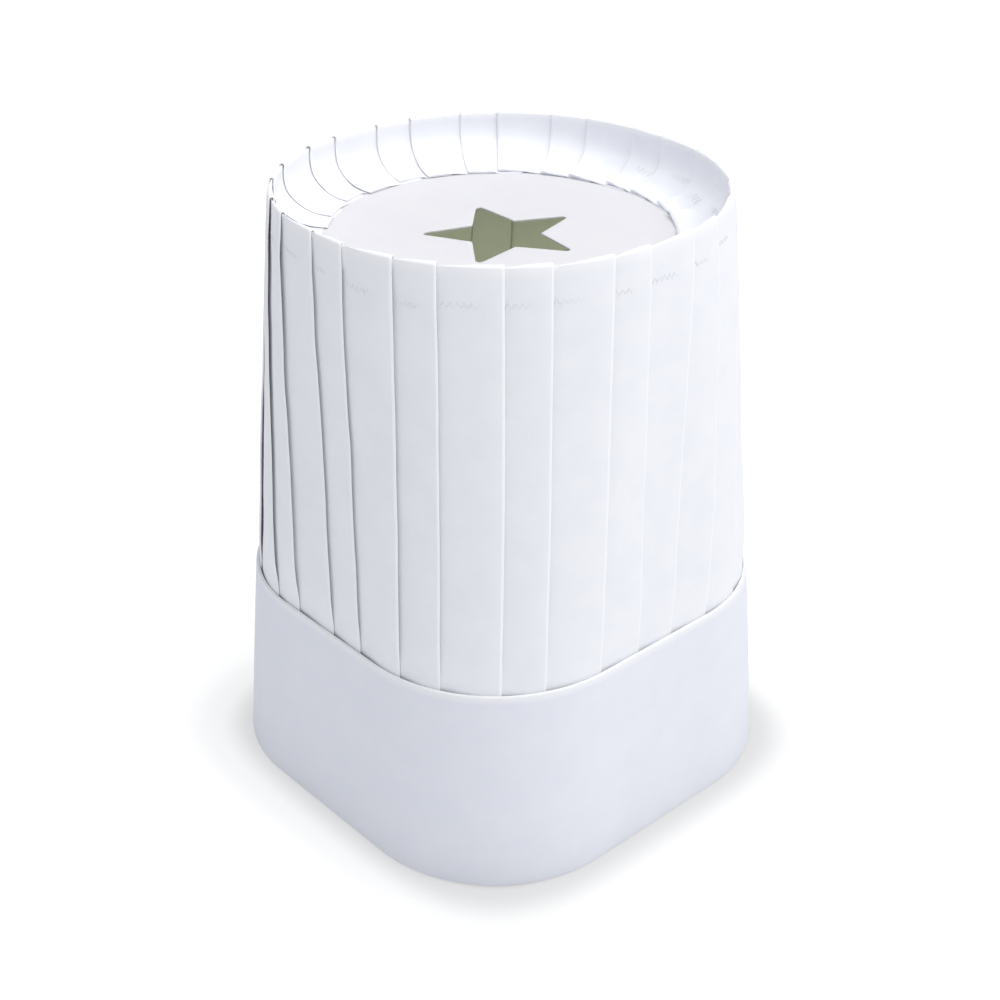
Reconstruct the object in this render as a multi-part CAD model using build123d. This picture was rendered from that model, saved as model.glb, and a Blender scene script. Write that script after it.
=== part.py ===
from build123d import *
import math
import os

# Chef toque, in millimetres. +Z is up, -Y is the front, and the origin is the centre of the base.
# The band and the lower wall are rounded squares with their flats across X and Y; the rim is nearly round.

# Driving dimensions: height, and the side and corner radius of the outer plan at three heights
HEIGHT = 230.0
BAND_HEIGHT = 79.5
BASE_SIDE, BASE_CORNER = 177.6, 57.0
BAND_TOP_SIDE, BAND_TOP_CORNER = 167.8, 57.3
RIM_SIDE, RIM_CORNER = 156.1, 73.5

# Plies of the headband, from the outside inwards, as depths below its outer face
COVER_PLY = 0.6
STIFFENER_PLY = 0.7
PLY_GAP = 0.05
WALL_PLY = 1.2
INNER_PLY_DEPTH = 3.2
BAND_DEPTH = INNER_PLY_DEPTH + COVER_PLY
INNER_PLY_TOP = 74.0

# Pleated wall: its hidden lower margin inside the band, and its inset from the band's top edge
MARGIN_Z = 66.0
WALL_INSET = 1.5

# Crown: the wall folds over the rim, goes down inside and ends as a ledge that lies on the disc
DISC_THICKNESS = 1.0
DISC_RADIUS = 75.0
DISC_TOP = 211.2
LEDGE_INNER_RADIUS = 61.5
LEDGE_RISE = 0.4
FOLD_RADIUS_AT_RIM = 78.4
FOLD_RADIUS_AT_TURN = 74.8
FOLD_TURN_Z = 217.5
LEDGE_TURN_RADIUS = 69.5

# Star vent in the disc
STAR_POINTS = 5
STAR_RADIUS = 30.2
STAR_INNER_RATIO = 0.44
STAR_TIP_ROUNDING = 1.5
STAR_FIRST_TIP_DEG = -131.5
STAR_CENTRE = (2.9, -1.5)

# Zig-zag stitch line below the rim
STITCH_Z = 217.5
STITCH_HEIGHT = 2.0
THREAD = 0.25

# Sweatband along the forehead half, and the run of thread along its top edge
SWEATBAND_Z = (5.0, 45.0)
SWEATBAND_PLY = 1.6
SWEATBAND_BACK_Y = -4.0
SWEAT_STITCH_BELOW_TOP = 4.0
SWEAT_STITCH_WIDTH = 0.6

# Tape inside the back of the wall, over its seam
TAPE_WIDTH = 20.0
TAPE_PLY = 0.4
TAPE_Z = (BAND_HEIGHT + 0.5, 207.0)

# Size closure on the back flat of the band; it is centred at this height
CLOSURE_Z = 40.0
LOOP_X, LOOP_TALL, LOOP_PLY = (-2.0, 40.0), 34.0, 0.7
TONGUE_X, TONGUE_TALL, TONGUE_PLY = (-34.0, 13.0), 28.0, 0.6
HOOK_X, HOOK_TALL, HOOK_PLY = (-1.0, 12.0), 25.0, 0.7
TONGUE_CORNER = 6.0
CLEARANCE = 0.35
SLEEVE_X, SLEEVE_PLY = (-37.0, -4.0), 0.5
FLANGE = 3.0
SLEEVE_THREAD_WIDTH = 0.5


def at(z, low, high, z_low, z_high):
    """Return the value at height z on the straight line from low at z_low to high at z_high."""
    return low + (high - low) * (z - z_low) / (z_high - z_low)


def band_plan(z, depth):
    """Return the band's plan at height z, moved inwards by depth."""
    side = at(z, BASE_SIDE, BAND_TOP_SIDE, 0.0, BAND_HEIGHT) - 2 * depth
    corner = at(z, BASE_CORNER, BAND_TOP_CORNER, 0.0, BAND_HEIGHT) - depth
    return Pos(0, 0, z) * RectangleRounded(side, side, corner)


def wall_plan(z, depth):
    """Return the wall's plan at height z, moved inwards by depth."""
    side = at(z, BAND_TOP_SIDE - 2 * WALL_INSET, RIM_SIDE, BAND_HEIGHT, HEIGHT) - 2 * depth
    corner = at(z, BAND_TOP_CORNER - WALL_INSET, RIM_CORNER, BAND_HEIGHT, HEIGHT) - depth
    return Pos(0, 0, z) * RectangleRounded(side, side, corner)


def tapered(plan, z_low, z_high, depth):
    """Return the solid between two plans of the same kind."""
    return loft([plan(z_low, depth), plan(z_high, depth)], ruled=True)


def shell(plan, z_low, z_high, outer, inner):
    """Return a closed ring of wall between two depths and two heights."""
    return tapered(plan, z_low, z_high, outer) - tapered(plan, z_low, z_high, inner)


def slab(x_range, y_range, z_range):
    """Return a box from its ranges along the three axes."""
    centre = [sum(r) / 2 for r in (x_range, y_range, z_range)]
    return Pos(*centre) * Box(*(r[1] - r[0] for r in (x_range, y_range, z_range)))


def back_patch(x_range, tall, corner):
    """Return a rounded bar along Y, behind the hat, whose outline cuts a patch out of a shell."""
    width = x_range[1] - x_range[0]
    outline = Plane.XZ * Pos(sum(x_range) / 2, CLOSURE_Z) * RectangleRounded(width, tall, corner)
    return extrude(outline, -BASE_SIDE)


def closure_plate(x_range, tall, low, high, corner):
    """Return a flat plate on the back of the band, from low to high above its outer face."""
    lean = math.atan((BASE_SIDE - BAND_TOP_SIDE) / 2 / BAND_HEIGHT)
    half_side = at(CLOSURE_Z, BASE_SIDE, BAND_TOP_SIDE, 0.0, BAND_HEIGHT) / 2
    face = Plane(origin=(0, half_side, CLOSURE_Z), x_dir=(1, 0, 0),
                 z_dir=(0, math.cos(lean), math.sin(lean)))
    width = x_range[1] - x_range[0]
    outline = Pos(sum(x_range) / 2, 0, low) * RectangleRounded(width, tall, corner)
    return extrude(face * outline, high - low)


def headband_cover():
    """One strip folded under at the bottom edge: outer ply, fold and inner ply."""
    outer_ply = shell(band_plan, 0.0, BAND_HEIGHT, 0.0, COVER_PLY)
    fold = shell(band_plan, 0.0, COVER_PLY, 0.0, BAND_DEPTH)
    inner_ply = shell(band_plan, 0.0, INNER_PLY_TOP, INNER_PLY_DEPTH, BAND_DEPTH)
    return outer_ply + fold + inner_ply


def band_stiffener():
    """Card strip inside the folded band, its two ends meeting at the back."""
    outer = COVER_PLY + PLY_GAP
    ring = shell(band_plan, COVER_PLY + PLY_GAP, BAND_HEIGHT - 1.0, outer, outer + STIFFENER_PLY)
    return ring - slab((-1.0, 1.0), (0, BASE_SIDE), (0, HEIGHT))


def fold_profile():
    """Section of the wall's inner ply and ledge, from the rim down and inwards, in the XZ plane."""
    top = DISC_TOP + WALL_PLY
    turn = (FOLD_RADIUS_AT_TURN, FOLD_TURN_Z)
    ledge = (LEDGE_TURN_RADIUS, top + LEDGE_RISE)
    upper = [
        Line((FOLD_RADIUS_AT_RIM, HEIGHT), turn),
        TangentArc(turn, ledge, tangent=(turn[0] - FOLD_RADIUS_AT_RIM, turn[1] - HEIGHT)),
        Line(ledge, (LEDGE_INNER_RADIUS, top)),
    ]
    turn_out = (turn[0] + WALL_PLY, turn[1])
    ledge_out = (ledge[0], ledge[1] - WALL_PLY)
    rim_out = (FOLD_RADIUS_AT_RIM + WALL_PLY, HEIGHT)
    lower = [
        Line((LEDGE_INNER_RADIUS, DISC_TOP), ledge_out),
        TangentArc(turn_out, ledge_out, tangent=(turn_out[0] - rim_out[0], turn_out[1] - HEIGHT)),
        Line(turn_out, rim_out),
    ]
    ends = [
        Line((LEDGE_INNER_RADIUS, top), (LEDGE_INNER_RADIUS, DISC_TOP)),
        Line(rim_out, (FOLD_RADIUS_AT_RIM, HEIGHT)),
    ]
    return Plane.XZ * make_face(upper + lower + ends)


def pleated_wall():
    """One folded sheet: margin in the band, outer ply, rim, inner ply and the ledge on the disc."""
    outer_ply = shell(wall_plan, MARGIN_Z, HEIGHT, 0.0, WALL_PLY)
    fold = revolve(fold_profile(), Axis.Z)
    return outer_ply + (fold & tapered(wall_plan, MARGIN_Z, HEIGHT, 0.0))


def crown_disc():
    """Card disc under the ledge, with the star vent."""
    corners = []
    for i in range(2 * STAR_POINTS):
        radius = STAR_RADIUS * (STAR_INNER_RATIO if i % 2 else 1.0)
        angle = math.radians(STAR_FIRST_TIP_DEG + 180.0 * i / STAR_POINTS)
        corners.append((radius * math.cos(angle), radius * math.sin(angle)))
    star = Polygon(*corners, align=None)
    tips = star.vertices().filter_by(lambda v: math.hypot(v.X, v.Y) > STAR_RADIUS / 2)
    plan = Circle(DISC_RADIUS) - Pos(*STAR_CENTRE) * fillet(tips, STAR_TIP_ROUNDING)
    return extrude(Pos(0, 0, DISC_TOP - DISC_THICKNESS) * plan, DISC_THICKNESS)


def rim_stitching():
    """Line of zig-zag thread on the outside, as one thin ring."""
    low, high = STITCH_Z - STITCH_HEIGHT / 2, STITCH_Z + STITCH_HEIGHT / 2
    return shell(wall_plan, low, high, -THREAD, 0.0)


def forehead_half(ring):
    """Keep the part of a ring that lies in front."""
    return ring & slab((-BASE_SIDE, BASE_SIDE), (-BASE_SIDE, SWEATBAND_BACK_Y), (0, HEIGHT))


def sweatband():
    """Absorbent strip on the inner ply of the band."""
    outer = BAND_DEPTH + PLY_GAP
    return forehead_half(shell(band_plan, *SWEATBAND_Z, outer, outer + SWEATBAND_PLY))


def sweatband_stitching():
    """Thread near the sweatband's top edge."""
    top = SWEATBAND_Z[1] - SWEAT_STITCH_BELOW_TOP
    outer = BAND_DEPTH + PLY_GAP + SWEATBAND_PLY
    return forehead_half(shell(band_plan, top - SWEAT_STITCH_WIDTH, top, outer, outer + THREAD))


def back_seam_tape():
    """Tape over the seam where the ends of the pleated sheet meet."""
    ring = shell(wall_plan, *TAPE_Z, WALL_PLY + PLY_GAP, WALL_PLY + PLY_GAP + TAPE_PLY)
    return ring & slab((-TAPE_WIDTH / 2, TAPE_WIDTH / 2), (0, BASE_SIDE), (0, HEIGHT))


def loop_strip():
    """Loop side of the touch fastener, lying on the band."""
    ring = shell(band_plan, 0.0, BAND_HEIGHT, -LOOP_PLY, 0.0)
    return ring & back_patch(LOOP_X, LOOP_TALL, TONGUE_CORNER / 2)


HOOK_LOW = LOOP_PLY + CLEARANCE
TONGUE_LOW = HOOK_LOW + HOOK_PLY
TONGUE_HIGH = TONGUE_LOW + TONGUE_PLY


def size_tongue():
    """Tab that slides out of the sleeve along +X to make the hat smaller."""
    return closure_plate(TONGUE_X, TONGUE_TALL, TONGUE_LOW, TONGUE_HIGH, TONGUE_CORNER)


def hook_strip():
    """Hook side of the touch fastener, on the tongue's inner face."""
    return closure_plate(HOOK_X, HOOK_TALL, HOOK_LOW, TONGUE_LOW, TONGUE_CORNER / 2)


def tongue_sleeve():
    """Flat pocket with a flange round it, closed at the -X end and open towards +X."""
    hollow_tall = TONGUE_TALL + 2 * CLEARANCE
    pocket_tall = hollow_tall + 2 * SLEEVE_PLY
    ceiling = TONGUE_HIGH + CLEARANCE
    pocket = closure_plate(SLEEVE_X, pocket_tall, -FLANGE, ceiling + SLEEVE_PLY, 1.0)
    hollow_x = (SLEEVE_X[0] + SLEEVE_PLY, SLEEVE_X[1] + FLANGE)
    hollow = closure_plate(hollow_x, hollow_tall, -2 * FLANGE, ceiling, 0.5)
    flange_x = (SLEEVE_X[0] - FLANGE, SLEEVE_X[1])
    flange_outline = back_patch(flange_x, pocket_tall + 2 * FLANGE, 1.0)
    flange = shell(band_plan, 0.0, BAND_HEIGHT, -SLEEVE_PLY, 0.0) & flange_outline
    return flange + (pocket - tapered(band_plan, 0.0, BAND_HEIGHT, 0.0)) - hollow


def sleeve_stitching():
    """Thread along the middle of the sleeve's flange, on its three closed sides."""
    tall = TONGUE_TALL + 2 * CLEARANCE + 2 * SLEEVE_PLY + FLANGE
    ring = shell(band_plan, 0.0, BAND_HEIGHT, -SLEEVE_PLY - THREAD, -SLEEVE_PLY)
    outer_x = (SLEEVE_X[0] - FLANGE / 2 - SLEEVE_THREAD_WIDTH / 2, SLEEVE_X[1] - 1.0)
    inner_x = (outer_x[0] + SLEEVE_THREAD_WIDTH, SLEEVE_X[1] + FLANGE)
    outline = back_patch(outer_x, tall + SLEEVE_THREAD_WIDTH, 0.5)
    inside = back_patch(inner_x, tall - SLEEVE_THREAD_WIDTH, 0.25)
    return ring & (outline - inside)


PIECES = [
    headband_cover,
    band_stiffener,
    sweatband,
    sweatband_stitching,
    pleated_wall,
    back_seam_tape,
    crown_disc,
    rim_stitching,
    tongue_sleeve,
    sleeve_stitching,
    loop_strip,
    size_tongue,
    hook_strip,
]

os.makedirs("parts", exist_ok=True)
for piece in PIECES:
    export_step(piece(), f"parts/{piece.__name__}.step")
print(f"outer girth at the base: {4 * (BASE_SIDE - 2 * BASE_CORNER) + 2 * math.pi * BASE_CORNER:.1f} mm")
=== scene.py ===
"""Visual model of a pleated chef toque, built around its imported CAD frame.

The toque is a stiff folded headband on a rounded-square plan, one pleated sheet that rises from it, folds
over a round rim and comes down inside as a ledge, a card disc with a star vent, and a size closure at the
back. Everything is in metres in the frame's own axes: +Z is up, -Y is the forehead, +Y is the closure.
"""

from __future__ import annotations

import logging
import math
from dataclasses import dataclass
from enum import Enum
from functools import cache

import bmesh
import bpy
import numpy as np
from mathutils import Matrix, Vector


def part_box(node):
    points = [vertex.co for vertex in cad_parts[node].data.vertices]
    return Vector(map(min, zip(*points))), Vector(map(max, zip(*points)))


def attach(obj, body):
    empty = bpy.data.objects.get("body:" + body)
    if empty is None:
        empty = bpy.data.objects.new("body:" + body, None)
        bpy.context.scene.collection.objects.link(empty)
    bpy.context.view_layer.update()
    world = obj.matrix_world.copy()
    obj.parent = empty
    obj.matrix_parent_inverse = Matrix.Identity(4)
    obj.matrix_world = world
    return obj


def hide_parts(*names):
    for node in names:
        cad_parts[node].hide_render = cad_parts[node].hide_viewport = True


MM = 0.001
SEED = 28
# Name of the vertex attribute that places the painted highlight on folds and edges
FOLD_HIGHLIGHT = "crease"
LOG = logging.getLogger("toque")
Colour = Place = tuple[float, float, float]
Array = np.ndarray
Pair = tuple[Array, Array]
Tube = tuple[Array, list]
Piece = bpy.types.Object
Socket = bpy.types.NodeSocket

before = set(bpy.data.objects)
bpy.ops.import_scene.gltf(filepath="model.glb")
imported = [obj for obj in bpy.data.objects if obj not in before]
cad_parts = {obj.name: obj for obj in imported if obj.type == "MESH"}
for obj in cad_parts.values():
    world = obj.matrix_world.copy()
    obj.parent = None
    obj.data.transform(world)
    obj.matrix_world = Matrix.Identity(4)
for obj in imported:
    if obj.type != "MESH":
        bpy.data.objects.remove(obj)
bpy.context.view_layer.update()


class Body(Enum):
    """The two rigid bodies of the toque."""

    HAT = "hat"
    SIZE_TAB = "size_tab"


class Facing(Enum):
    """The side of the wall that a run of stitches lies on."""

    OUTSIDE = 1
    INSIDE = 2


# Mesh helpers


def smooth(x: Array) -> Array:
    """Ease a share from 0 to 1, flat at both ends."""
    x = np.clip(x, 0.0, 1.0)
    return x * x * (3.0 - 2.0 * x)


def polar(r: Array | float, angle: Array, z: Array | float) -> Array:
    """Points at the given distances and directions from the axis, and heights."""
    return np.stack(np.broadcast_arrays(r * np.cos(angle), r * np.sin(angle), z), axis=-1)


def activate(obj: Piece) -> None:
    """Make obj the one selected and active object.

    Args:
        obj: The object.
    """
    bpy.ops.object.select_all(action="DESELECT")
    obj.select_set(True)
    bpy.context.view_layer.objects.active = obj


def apply_modifiers(obj: Piece) -> None:
    """Apply every modifier of obj, in order.

    Args:
        obj: The object.
    """
    activate(obj)
    for modifier in list(obj.modifiers):
        bpy.ops.object.modifier_apply(modifier=modifier.name)


def link_new(name: str, data: bpy.types.ID) -> Piece:
    """Put an object with the given data in the scene.

    Args:
        name: The object's name.
        data: Its mesh, camera or light.

    Returns:
        The object.
    """
    obj = bpy.data.objects.new(name, data)
    bpy.context.scene.collection.objects.link(obj)
    return obj


def new_object(name: str, points: Array, faces: list, uvs: Array | None = None) -> Piece:
    """Make a smooth-shaded mesh object.

    Args:
        name: The piece's name.
        points: Vertex positions, one row each.
        faces: Vertex indices of each face.
        uvs: One pair per vertex, in metres on the flat sheet, or None.

    Returns:
        The object, linked to the scene.
    """
    mesh = bpy.data.meshes.new(name)
    mesh.from_pydata(np.asarray(points, float).reshape(-1, 3).tolist(), [], faces)
    if uvs is not None:
        layer = mesh.uv_layers.new(name="flat_sheet")
        index = np.zeros(len(mesh.loops), int)
        mesh.loops.foreach_get("vertex_index", index)
        layer.data.foreach_set("uv", uvs[index].ravel())
    mesh.polygons.foreach_set("use_smooth", [True] * len(mesh.polygons))
    return link_new(name, mesh)


def grid_faces(rows: int, cols: int, closed: bool) -> list:
    """List the quads of a grid of points.

    Args:
        rows: The number of rows of points.
        cols: The number of points in a row.
        closed: Whether the last column joins the first.

    Returns:
        The vertex indices of each face.
    """
    faces = []
    for i in range(rows - 1):
        for j in range(cols if closed else cols - 1):
            k = (j + 1) % cols
            faces.append((i * cols + j, i * cols + k, (i + 1) * cols + k, (i + 1) * cols + j))
    return faces


def lay_flat(points: Array, row: int, steps: Array) -> tuple[Array, float, float]:
    """Lay a ring of sheet flat.

    Args:
        points: The ring's grid of points, its last column next to its first.
        row: The row that gives the distances round the ring.
        steps: The distances between the rows.

    Returns:
        The place of each point on the flat sheet, and the sheet's length and width.
    """
    around = np.linalg.norm(np.diff(points[row], axis=0, append=points[row][:1]), axis=-1)
    across, along = np.concatenate([[0], np.cumsum(around)]), np.concatenate([[0], np.cumsum(steps)])
    uvs = np.stack(np.broadcast_arrays(across[None, :-1], along[:, None]), axis=-1)
    return uvs.reshape(-1, 2), float(around.sum()), float(along[-1])


def mark_fold_highlights(obj: Piece, share: Array) -> None:
    """Record a share from 0 to 1 at each vertex of a sheet, for the painted highlight that lightens its
    folds.
    """
    layer = obj.data.attributes.new(FOLD_HIGHLIGHT, "FLOAT", "POINT")
    layer.data.foreach_set("value", np.asarray(share, float).ravel())


def thicken(obj: Piece, thickness: float) -> None:
    """Give a sheet its thickness, as a closed shell.

    Args:
        obj: The sheet.
        thickness: The thickness, half on each side.
    """
    shell = obj.modifiers.new("ply", "SOLIDIFY")
    shell.thickness, shell.offset, shell.use_even_offset = thickness, 0.0, False
    apply_modifiers(obj)


def face_outwards(obj: Piece) -> Piece:
    """Turn the faces of each closed part of a piece outwards.

    Args:
        obj: The piece.

    Returns:
        The same piece.
    """
    mesh = bmesh.new()
    mesh.from_mesh(obj.data)
    bmesh.ops.recalc_face_normals(mesh, faces=mesh.faces)
    mesh.to_mesh(obj.data)
    mesh.free()
    return obj


def tube(points: Array, across: Array, radius: float, sides: int = 6) -> Tube:
    """Make a closed tube along a line.

    Args:
        points: The line's points.
        across: A direction across the line, or one for each point.
        radius: The tube's radius.
        sides: The number of sides.

    Returns:
        The vertices and the faces.
    """
    along = np.gradient(points, axis=0)
    along /= np.linalg.norm(along, axis=1, keepdims=True)
    side = np.cross(along, across)
    side /= np.linalg.norm(side, axis=1, keepdims=True)
    up = np.cross(side, along)
    turn = (np.arange(sides) * 2 * np.pi / sides)[None, :, None]
    ring = side[:, None] * np.cos(turn) + up[:, None] * np.sin(turn)
    last = (len(points) - 1) * sides
    ends = [tuple(range(sides))[::-1], tuple(range(last, last + sides))]
    return (points[:, None] + radius * ring).reshape(-1, 3), grid_faces(len(points), sides, True) + ends


def join_tubes(name: str, tubes: list[Tube]) -> Piece:
    """Make one object of many tubes, with its faces turned outwards.

    Args:
        name: The piece's name.
        tubes: The vertices and the faces of each tube.

    Returns:
        The piece.
    """
    faces, start = [], 0
    for verts, own in tubes:
        faces += [tuple(start + i for i in face) for face in own]
        start += len(verts)
    return face_outwards(new_object(name, np.concatenate([verts for verts, _ in tubes]), faces))


# Shader node groups and finishes


class NodeBench:
    """Adds and links the nodes of one node tree."""

    def __init__(self, tree: bpy.types.NodeTree) -> None:
        """Take the tree to work on."""
        self.tree = tree

    def feed(self, node: bpy.types.Node, inputs: dict) -> None:
        """Join each input of a node to the socket given for it, or set it to the value given.

        Args:
            node: The node.
            inputs: A socket or a value for each input, by name or number.
        """
        for key, value in inputs.items():
            socket = node.inputs[key]
            if isinstance(value, Socket):
                self.tree.links.new(value, socket)
            else:
                socket.default_value = (*value, 1.0) if socket.type == "RGBA" else value

    def add(self, kind: str, inputs: dict | None = None, **settings: object) -> bpy.types.NodeOutputs:
        """Add a shader node.

        Args:
            kind: The node's type, without its ShaderNode prefix.
            inputs: A socket or a value for each input, by name or number.
            **settings: Its properties.

        Returns:
            Its outputs.
        """
        node = self.tree.nodes.new("ShaderNode" + kind)
        for name, value in settings.items():
            setattr(node, name, value)
        self.feed(node, inputs or {})
        return node.outputs

    def math(self, operation: str, *values: object) -> Socket:
        """Add a Math node on sockets or numbers and return its output."""
        return self.add("Math", dict(enumerate(values)), operation=operation)[0]

    def mix(self, share: Socket, low: object, high: object) -> Socket:
        """Mix two colours, each a colour or a socket, and return the result."""
        return self.add("Mix", {0: share, 6: low, 7: high}, data_type="RGBA")[2]

    def bump(self, height: Socket, distance: float) -> Socket:
        """Add a Bump node and return its normal."""
        return self.add("Bump", {"Height": height, "Distance": distance})["Normal"]


def new_group(name: str, sizes: dict[str, float],
              outputs: tuple[str, str]) -> tuple[NodeBench, bpy.types.NodeOutputs, bpy.types.Node]:
    """Start a node group that reads a position and some sizes.

    Args:
        name: The group's name.
        sizes: The names and first values of its sizes.
        outputs: The names of its outputs.

    Returns:
        A bench for the group, what its input node puts out, and its output node.
    """
    group = bpy.data.node_groups.new(name, "ShaderNodeTree")
    group.interface.new_socket("Position", in_out="INPUT", socket_type="NodeSocketVector")
    for label, value in sizes.items():
        group.interface.new_socket(label, in_out="INPUT", socket_type="NodeSocketFloat").default_value = value
    for label in outputs:
        group.interface.new_socket(label, in_out="OUTPUT", socket_type="NodeSocketFloat")
    entry = group.nodes.new("NodeGroupInput")
    return NodeBench(group), entry.outputs, group.nodes.new("NodeGroupOutput")


@cache
def fibre_group() -> bpy.types.NodeTree:
    """Build the relief and mottling of a felted, pressed sheet.

    Returns:
        The group. Its Height, about 0.5, is for a Bump node, and its Cloud masks the sheet's uneven density.
    """
    sizes = {"Fibres per metre": 900.0, "Clouds per metre": 90.0, "Emboss": 0.5}
    bench, entry, leave = new_group("pressed_fibres", sizes, ("Height", "Cloud"))
    strands = []
    for turn_deg, stretch in ((12.0, 0.16), (74.0, 0.22), (138.0, 0.18)):
        place = bench.add("Mapping", {"Vector": entry["Position"], "Scale": (stretch, 1.0, 1.0),
                                      "Rotation": (0.0, 0.0, math.radians(turn_deg))})
        strands.append(bench.add("TexNoise", {"Vector": place["Vector"], "Scale": entry["Fibres per metre"],
                                              "Detail": 3.0, "Roughness": 0.55})["Fac"])
    fibres = bench.math("MAXIMUM", bench.math("MAXIMUM", strands[0], strands[1]), strands[2])
    cloud = bench.add("TexNoise", {"Vector": entry["Position"], "Scale": entry["Clouds per metre"],
                                   "Detail": 5.0, "Roughness": 0.6})
    dimples = bench.add("TexVoronoi", {"Vector": entry["Position"], "Smoothness": 0.8,
                                       "Scale": bench.math("MULTIPLY", entry["Fibres per metre"], 0.8)},
                        feature="SMOOTH_F1")
    relief = bench.math("ADD", fibres, bench.math("MULTIPLY", dimples["Distance"], entry["Emboss"]))
    bench.feed(leave, {"Height": relief, "Cloud": cloud["Fac"]})
    return bench.tree


@cache
def weave_group() -> bpy.types.NodeTree:
    """Build a plain weave.

    Returns:
        The group. Its Height is for a Bump node, and its Thread masks the raised yarns.
    """
    bench, entry, leave = new_group("plain_weave", {"Yarns per metre": 1500.0}, ("Height", "Thread"))
    scaled = bench.add("VectorMath", {0: entry["Position"],
                                      "Scale": bench.math("MULTIPLY", entry["Yarns per metre"], math.pi)},
                       operation="SCALE")
    axes = bench.add("SeparateXYZ", {"Vector": scaled["Vector"]})
    yarns = bench.math("ABSOLUTE", bench.math("MULTIPLY", *(bench.math("SINE", axes[k]) for k in "XY")))
    fuzz = bench.add("TexNoise", {"Vector": entry["Position"], "Scale": 4000.0})
    raised = bench.math("ADD", yarns, bench.math("MULTIPLY", fuzz["Fac"], 0.5))
    bench.feed(leave, {"Height": raised, "Thread": yarns})
    return bench.tree


@dataclass(frozen=True)
class Finish:
    """A finish of two colours that a mask mixes; each kind of finish paints itself."""

    name: str
    colour: Colour
    # The second colour: the darker mottle of a sheet, and the painted shade in the gaps of cloth and the
    # grooves of thread
    mottle_and_shade: Colour

    @cache
    def material(self) -> bpy.types.Material:
        """Build the material, once for each finish.

        Returns:
            The material.
        """
        made = bpy.data.materials.new(self.name)
        made.use_nodes = True
        self.paint(NodeBench(made.node_tree), made.node_tree.nodes["Principled BSDF"])
        return made

    def paint(self, bench: NodeBench, shader: bpy.types.Node) -> None:
        """Add the nodes that feed the shader."""
        raise NotImplementedError


@dataclass(frozen=True)
class SheetFinish(Finish):
    """A matt, pressed fibre sheet such as non-woven viscose, paper or card."""

    emboss: float = 0.5
    relief: float = 0.05 * MM
    coordinates: str = "UV"
    fibres_per_metre: float = 900.0
    clouds_per_metre: float = 70.0
    density: tuple[float, float] = (0.35, 0.65)
    roughness: tuple[float, float] = (0.7, 0.86)
    # Colour of the painted highlight on folds and edges, where light catches them
    fold_highlight_colour: Colour = (0.97, 0.97, 0.975)

    def paint(self, bench: NodeBench, shader: bpy.types.Node) -> None:
        """Mottle the colour, paint a highlight on the folds and raise the fibres.

        Args:
            bench: The bench for the material.
            shader: The material's Principled BSDF.
        """
        fibres = bench.add("Group", {
            "Position": bench.add("TexCoord")[self.coordinates], "Fibres per metre": self.fibres_per_metre,
            "Clouds per metre": self.clouds_per_metre, "Emboss": self.emboss}, node_tree=fibre_group())
        dense = bench.add("MapRange", {"Value": fibres["Cloud"], "From Min": self.density[0],
                                       "From Max": self.density[1]})["Result"]
        rough = bench.add("MapRange", {"Value": fibres["Cloud"], "To Min": self.roughness[0],
                                       "To Max": self.roughness[1]})["Result"]
        # Painted highlight on the folds: the attribute's share lifts the colour towards the highlight colour
        highlight_share = bench.add("Attribute", attribute_name=FOLD_HIGHLIGHT)["Fac"]
        colour = bench.mix(highlight_share, bench.mix(dense, self.mottle_and_shade, self.colour), self.fold_highlight_colour)
        bench.feed(shader, {"Base Color": colour, "Roughness": rough, "Sheen Weight": 0.12,
                            "Specular IOR Level": 0.3, "Normal": bench.bump(fibres["Height"], self.relief)})


@dataclass(frozen=True)
class ClothFinish(Finish):
    """A woven or knitted cloth such as tape, absorbent towelling or a touch fastener's backing."""

    yarns_per_metre: float = 1500.0
    relief: float = 0.12 * MM

    def paint(self, bench: NodeBench, shader: bpy.types.Node) -> None:
        """Raise the yarns, and paint shade into the gaps between them.

        Args:
            bench: The bench for the material.
            shader: The material's Principled BSDF.
        """
        weave = bench.add("Group", {"Position": bench.add("TexCoord")["Object"],
                                    "Yarns per metre": self.yarns_per_metre}, node_tree=weave_group())
        # Painted shade: the gaps between the yarns take the darker colour
        bench.feed(shader, {"Base Color": bench.mix(weave["Thread"], self.mottle_and_shade, self.colour),
                            "Normal": bench.bump(weave["Height"], self.relief),
                            "Roughness": 0.9, "Sheen Weight": 0.3})


@dataclass(frozen=True)
class ThreadFinish(Finish):
    """Spun white thread with its twist."""

    twists_per_metre: float = 1800.0
    relief: float = 0.05 * MM

    def paint(self, bench: NodeBench, shader: bpy.types.Node) -> None:
        """Paint shade into the grooves of the twist, and sink them.

        Args:
            bench: The bench for the material.
            shader: The material's Principled BSDF.
        """
        twist = bench.add("TexWave", {"Vector": bench.add("TexCoord")["Object"], "Distortion": 1.5,
                                      "Scale": self.twists_per_metre},
                          wave_type="BANDS", bands_direction="DIAGONAL")["Fac"]
        # Painted shade: the grooves of the twist take the darker colour
        bench.feed(shader, {"Base Color": bench.mix(twist, self.mottle_and_shade, self.colour), "Roughness": 0.55,
                            "Sheen Weight": 0.2, "Normal": bench.bump(twist, self.relief)})


WALL_SHEET = SheetFinish("viscose_sheet", (0.9, 0.907, 0.945), (0.87, 0.879, 0.923))
BAND_SHEET = SheetFinish("band_paper", (0.824, 0.84, 0.902), (0.801, 0.82, 0.885), 0.3, 0.03 * MM)
STIFFENER_CARD = SheetFinish("grey_board", (0.7, 0.68, 0.62), (0.6, 0.58, 0.53), coordinates="Object")
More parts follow.
